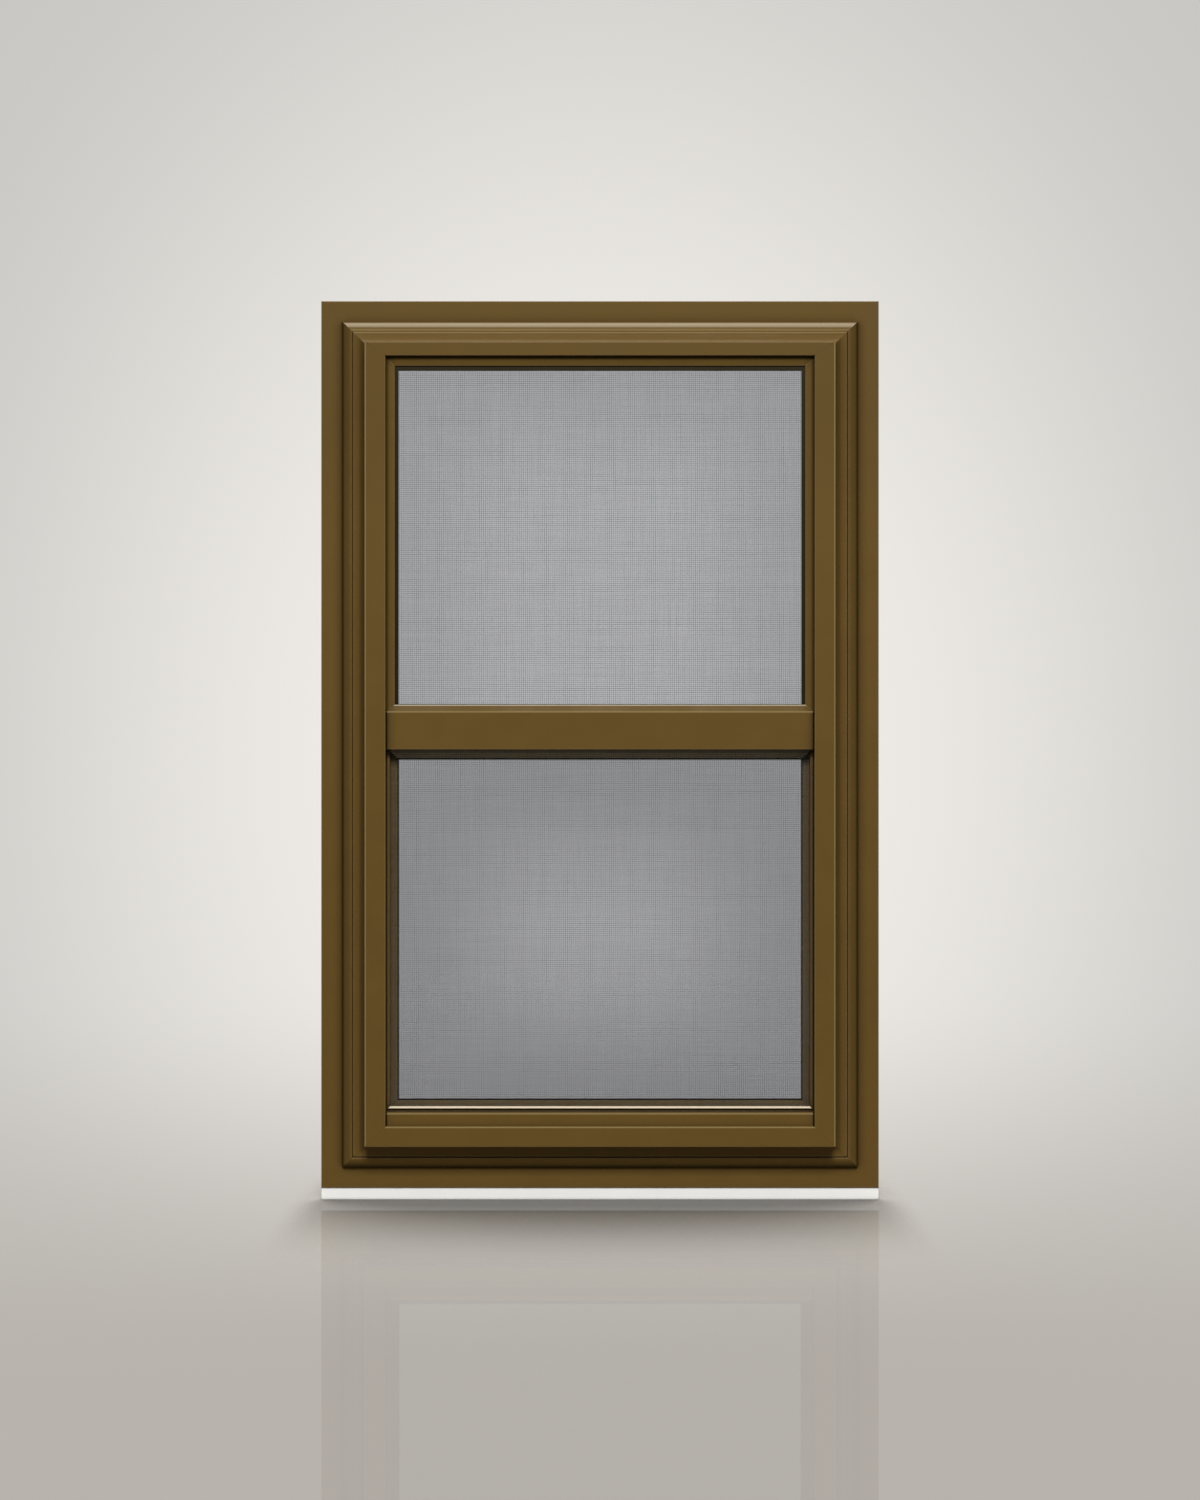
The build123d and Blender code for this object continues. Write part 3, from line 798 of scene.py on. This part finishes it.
class STORM_OT_screen(bpy.types.Operator):
    """Weaves the insect screen, strand by strand, and finishes its spline"""

    bl_idname = "storm.screen"
    bl_label = "Woven Screen"

    def execute(self, context):
        settings = context.scene.storm_screen
        width = MESH_HIGH.x - MESH_LOW.x
        height = MESH_HIGH.z - MESH_LOW.z
        centre = (MESH_LOW + MESH_HIGH) / 2
        inset = settings.strand / 2 + settings.wander
        warp_count = int((width - 2 * inset) / settings.warp_pitch) + 1
        weft_count = int((height - 2 * inset) / settings.weft_pitch) + 1
        first_warp = (centre.x - (warp_count - 1) * settings.warp_pitch / 2, centre.y, centre.z)
        first_weft = (centre.x, centre.y, centre.z - (weft_count - 1) * settings.weft_pitch / 2)
        warp = strand_set("screen_warp", first_warp, height, True, warp_count, settings.warp_pitch, settings)
        weft = strand_set("screen_weft", first_weft, width, False, weft_count, settings.weft_pitch, settings)
        self.spin_fibre(warp, (SLUB_ACROSS, 1.0, SLUB_ALONG), settings.seed, settings)
        self.spin_fibre(weft, (SLUB_ALONG, 1.0, SLUB_ACROSS), settings.seed + 1, settings)
        deselect_all()
        weft.select_set(True)
        warp.select_set(True)
        bpy.context.view_layer.objects.active = warp
        bpy.ops.object.join()
        warp.name = "screen_weave"
        bpy.ops.object.shade_smooth_by_angle(angle=STRAND_SMOOTH)
        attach(warp, "root")
        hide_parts("screen_mesh")

        vinyl = context.scene.storm_finish.vinyl
        material, tree, shader = new_material("spline_vinyl", vinyl)
        coat = grained(tree, vinyl, 0.12, 1200.0, (0.45, 0.6))
        lead_in(tree, shader, coat["Color"], coat["Roughness"], coat["Height"], 0.2)
        finish_nodes(material, ("screen_spline",))
        return {"FINISHED"}

    def spin_fibre(self, piece, stretch, seed, settings):
        """Gives a set of strands its coated fibre, and lets each strand stray a little from its line."""
        material, tree, shader = new_material(f"{piece.name}_fibre", settings.colour)
        along = put(
            tree, "ShaderNodeVectorMath", {"operation": "MULTIPLY"}, i0=object_place(tree), i1=stretch
        ).outputs[0]
        slub = put(tree, "ShaderNodeTexNoise", Vector=along, Scale=1.0, Detail=1.0).outputs[0]
        colour = toned(tree, rgba(settings.colour), spread(tree, slub, *NOISE_RANGE, *SLUB_TONE))
        roughness = spread(tree, slub, *NOISE_RANGE, *SLUB_ROUGHNESS)
        tree.links.new(colour, shader.inputs["Base Color"])
        tree.links.new(roughness, shader.inputs["Roughness"])
        piece.data.materials.append(material)
        bpy.context.view_layer.objects.active = piece
        deselect_all()
        piece.select_set(True)
        bpy.ops.object.mode_set(mode="EDIT")
        bpy.ops.mesh.select_all(action="SELECT")
        bpy.ops.transform.vertex_random(offset=settings.wander, uniform=1.0, seed=seed)
        bpy.ops.object.mode_set(mode="OBJECT")


class STORM_OT_stage(bpy.types.Operator):
    """Sets up the floor, the backdrop, the lamps and the camera"""

    bl_idname = "storm.stage"
    bl_label = "Studio"

    def execute(self, context):
        settings = context.scene.storm_stage
        self.lay_floor(settings)
        self.paint_backdrop(context.scene, settings)
        self.hang_lamp("front_softbox", settings.key, KEY_PLACE, KEY_SIZE)
        self.hang_lamp("overhead_softbox", settings.top, TOP_PLACE, TOP_SIZE)
        self.set_camera(context.scene, settings)
        context.scene.view_settings.view_transform = "Standard"
        return {"FINISHED"}

    def lay_floor(self, settings):
        """A round floor that shows only in front of the window, with a contact shade and a faint polish."""
        deselect_all()
        bpy.ops.mesh.primitive_circle_add(
            vertices=FLOOR_SIDES, radius=FLOOR_RADIUS, fill_type="NGON", location=(0.0, 0.0, OBJECT_LOW.z)
        )
        floor = bpy.context.object
        floor.name = "studio_floor"
        bpy.ops.object.transform_apply(location=True, rotation=True, scale=True)
        bpy.ops.object.mode_set(mode="EDIT")
        bpy.ops.mesh.select_all(action="SELECT")
        bpy.ops.mesh.inset(thickness=FLOOR_RIM)
        bpy.ops.object.mode_set(mode="OBJECT")
        material, tree, shader = new_material("studio_floor", settings.floor)
        tree.nodes.remove(shader)
        axes = split(tree, object_place(tree))
        sides = [OBJECT_HIGH.x + step for step in FADE_ASIDE]
        aside = spread(tree, reckon(tree, "ABSOLUTE", axes["X"]), *sides, 1.0, 0.0, smooth=True)
        behind = spread(tree, axes["Y"], *FADE_BEHIND, 1.0, 0.0, smooth=True)
        ahead = spread(tree, axes["Y"], *FADE_AHEAD, smooth=True)
        before_window = product(tree, aside, behind)
        touch = put(
            tree, "ShaderNodeAmbientOcclusion", {"samples": TOUCH_SAMPLES}, Distance=TOUCH_REACH
        ).outputs["AO"]
        shade = spread(tree, touch, *TOUCH_SKY)
        colour = blend_colour(tree, shade, shaded(settings.floor, TOUCH_SHADE), rgba(settings.floor))
        matt = put(tree, "ShaderNodeBsdfDiffuse", Color=colour).outputs[0]
        polish = put(
            tree, "ShaderNodeBsdfGlossy", Color=(1.0, 1.0, 1.0, 1.0), Roughness=POLISH_ROUGHNESS
        ).outputs[0]
        clear = tree.nodes.new("ShaderNodeBsdfTransparent").outputs[0]
        ground = blend_shader(tree, product(tree, before_window, ahead), clear, matt)
        facing = put(tree, "ShaderNodeLayerWeight", Blend=0.5).outputs["Facing"]
        sheen = spread(tree, facing, *POLISH_FACING, 0.0, POLISH)
        whole = blend_shader(tree, product(tree, before_window, sheen), ground, polish)
        tree.links.new(whole, tree.nodes["Material Output"].inputs["Surface"])
        floor.data.materials.append(material)

    def paint_backdrop(self, scene, settings):
        """A pale backdrop with a soft glow behind the window, and an even fill for the lighting."""
        world = bpy.data.worlds.new("studio_backdrop")
        world.use_nodes = True
        scene.world = world
        tree = world.node_tree
        tree.nodes.clear()
        way = object_place(tree)
        axes = split(tree, way)
        oval = put(tree, "ShaderNodeVectorMath", {"operation": "MULTIPLY"}, i0=way, i1=GLOW_SHAPE).outputs[0]
        off_axis = put(tree, "ShaderNodeVectorMath", {"operation": "LENGTH"}, i0=oval).outputs["Value"]
        glow = spread(tree, off_axis, *GLOW_REACH, 1.0, 0.0, smooth=True)
        back = blend_colour(tree, glow, rgba(settings.backdrop_edge), rgba(settings.backdrop))
        path = tree.nodes.new("ShaderNodeLightPath").outputs
        mirrored = mirrored_rays(tree, path)
        under = product(tree, reckon(tree, "ABSOLUTE", axes["Z"]), -1.0)
        level = blend_value(tree, mirrored, axes["Z"], under)
        ground = spread(tree, level, *GROUND_LEVEL, smooth=True)
        seen_colour = blend_colour(tree, ground, back, rgba(settings.floor_far))
        seen = put(tree, "ShaderNodeBackground", Color=seen_colour, Strength=1.0).outputs[0]
        strength = spread(tree, axes["Y"], *FILL_TURN, settings.fill, settings.fill_behind)
        fill = put(tree, "ShaderNodeBackground", Color=rgba(FILL_COLOUR), Strength=strength).outputs[0]
        mirrored_back = product(tree, mirrored, spread(tree, axes["Y"], *MIRROR_TURN))
        direct = reckon(tree, "MAXIMUM", path["Is Camera Ray"], mirrored_back)
        direct = reckon(tree, "MAXIMUM", direct, path["Is Transmission Ray"])
        output = tree.nodes.new("ShaderNodeOutputWorld")
        tree.links.new(blend_shader(tree, direct, fill, seen), output.inputs["Surface"])

    def hang_lamp(self, name, power, place, size):
        """A soft rectangular lamp turned to the middle of the window."""
        lamp = bpy.data.lights.new(name, "AREA")
        lamp.shape = "RECTANGLE"
        lamp.size, lamp.size_y = size
        lamp.energy = power
        lamp.color = LAMP_COLOUR
        holder = bpy.data.objects.new(name, lamp)
        bpy.context.scene.collection.objects.link(holder)
        holder.location = place
        aim = (OBJECT_LOW + OBJECT_HIGH) / 2 - holder.location
        holder.rotation_euler = aim.to_track_quat("-Z", "Y").to_euler()

    def set_camera(self, scene, settings):
        """A level camera square on to the window, at the height of its middle."""
        camera = bpy.data.cameras.new("square_on")
        camera.lens = settings.lens
        camera.sensor_width = SENSOR_WIDTH
        camera.dof.use_dof = False
        holder = bpy.data.objects.new("square_on", camera)
        scene.collection.objects.link(holder)
        holder.location = (0.0, -settings.distance, settings.height)
        holder.rotation_euler = (math.pi / 2, 0.0, 0.0)
        scene.camera = holder


class STORM_PT_panel(bpy.types.Panel):
    """Lists the steps and the settings"""

    bl_label = "Storm Window"
    bl_idname = "STORM_PT_panel"
    bl_space_type = "VIEW_3D"
    bl_region_type = "UI"
    bl_category = "Storm Window"

    def draw(self, context):
        for operator in OPERATORS:
            self.layout.operator(operator.bl_idname)
        scene = context.scene
        for holder in (scene.storm_finish, scene.storm_screen, scene.storm_stage):
            box = self.layout.box()
            for key in holder.bl_rna.properties.keys():
                if key not in ("rna_type", "name"):
                    box.prop(holder, key)


SETTINGS = (FinishSettings, ScreenSettings, StageSettings)
OPERATORS = (
    STORM_OT_shared_effects,
    STORM_OT_bronze,
    STORM_OT_expander,
    STORM_OT_glazing,
    STORM_OT_latches,
    STORM_OT_screen,
    STORM_OT_stage,
)
CLASSES = SETTINGS + OPERATORS + (STORM_PT_panel,)


def register():
    for kind in CLASSES:
        bpy.utils.register_class(kind)
    bpy.types.Scene.storm_finish = PointerProperty(type=FinishSettings)
    bpy.types.Scene.storm_screen = PointerProperty(type=ScreenSettings)
    bpy.types.Scene.storm_stage = PointerProperty(type=StageSettings)


def unregister():
    del bpy.types.Scene.storm_stage
    del bpy.types.Scene.storm_screen
    del bpy.types.Scene.storm_finish
    for kind in reversed(CLASSES):
        bpy.utils.unregister_class(kind)


def main():
    register()
    bpy.ops.storm.shared_effects()
    bpy.ops.storm.bronze()
    bpy.ops.storm.expander()
    bpy.ops.storm.glazing()
    bpy.ops.storm.latches()
    bpy.ops.storm.screen()
    bpy.ops.storm.stage()


if __name__ == "__main__":
    main()
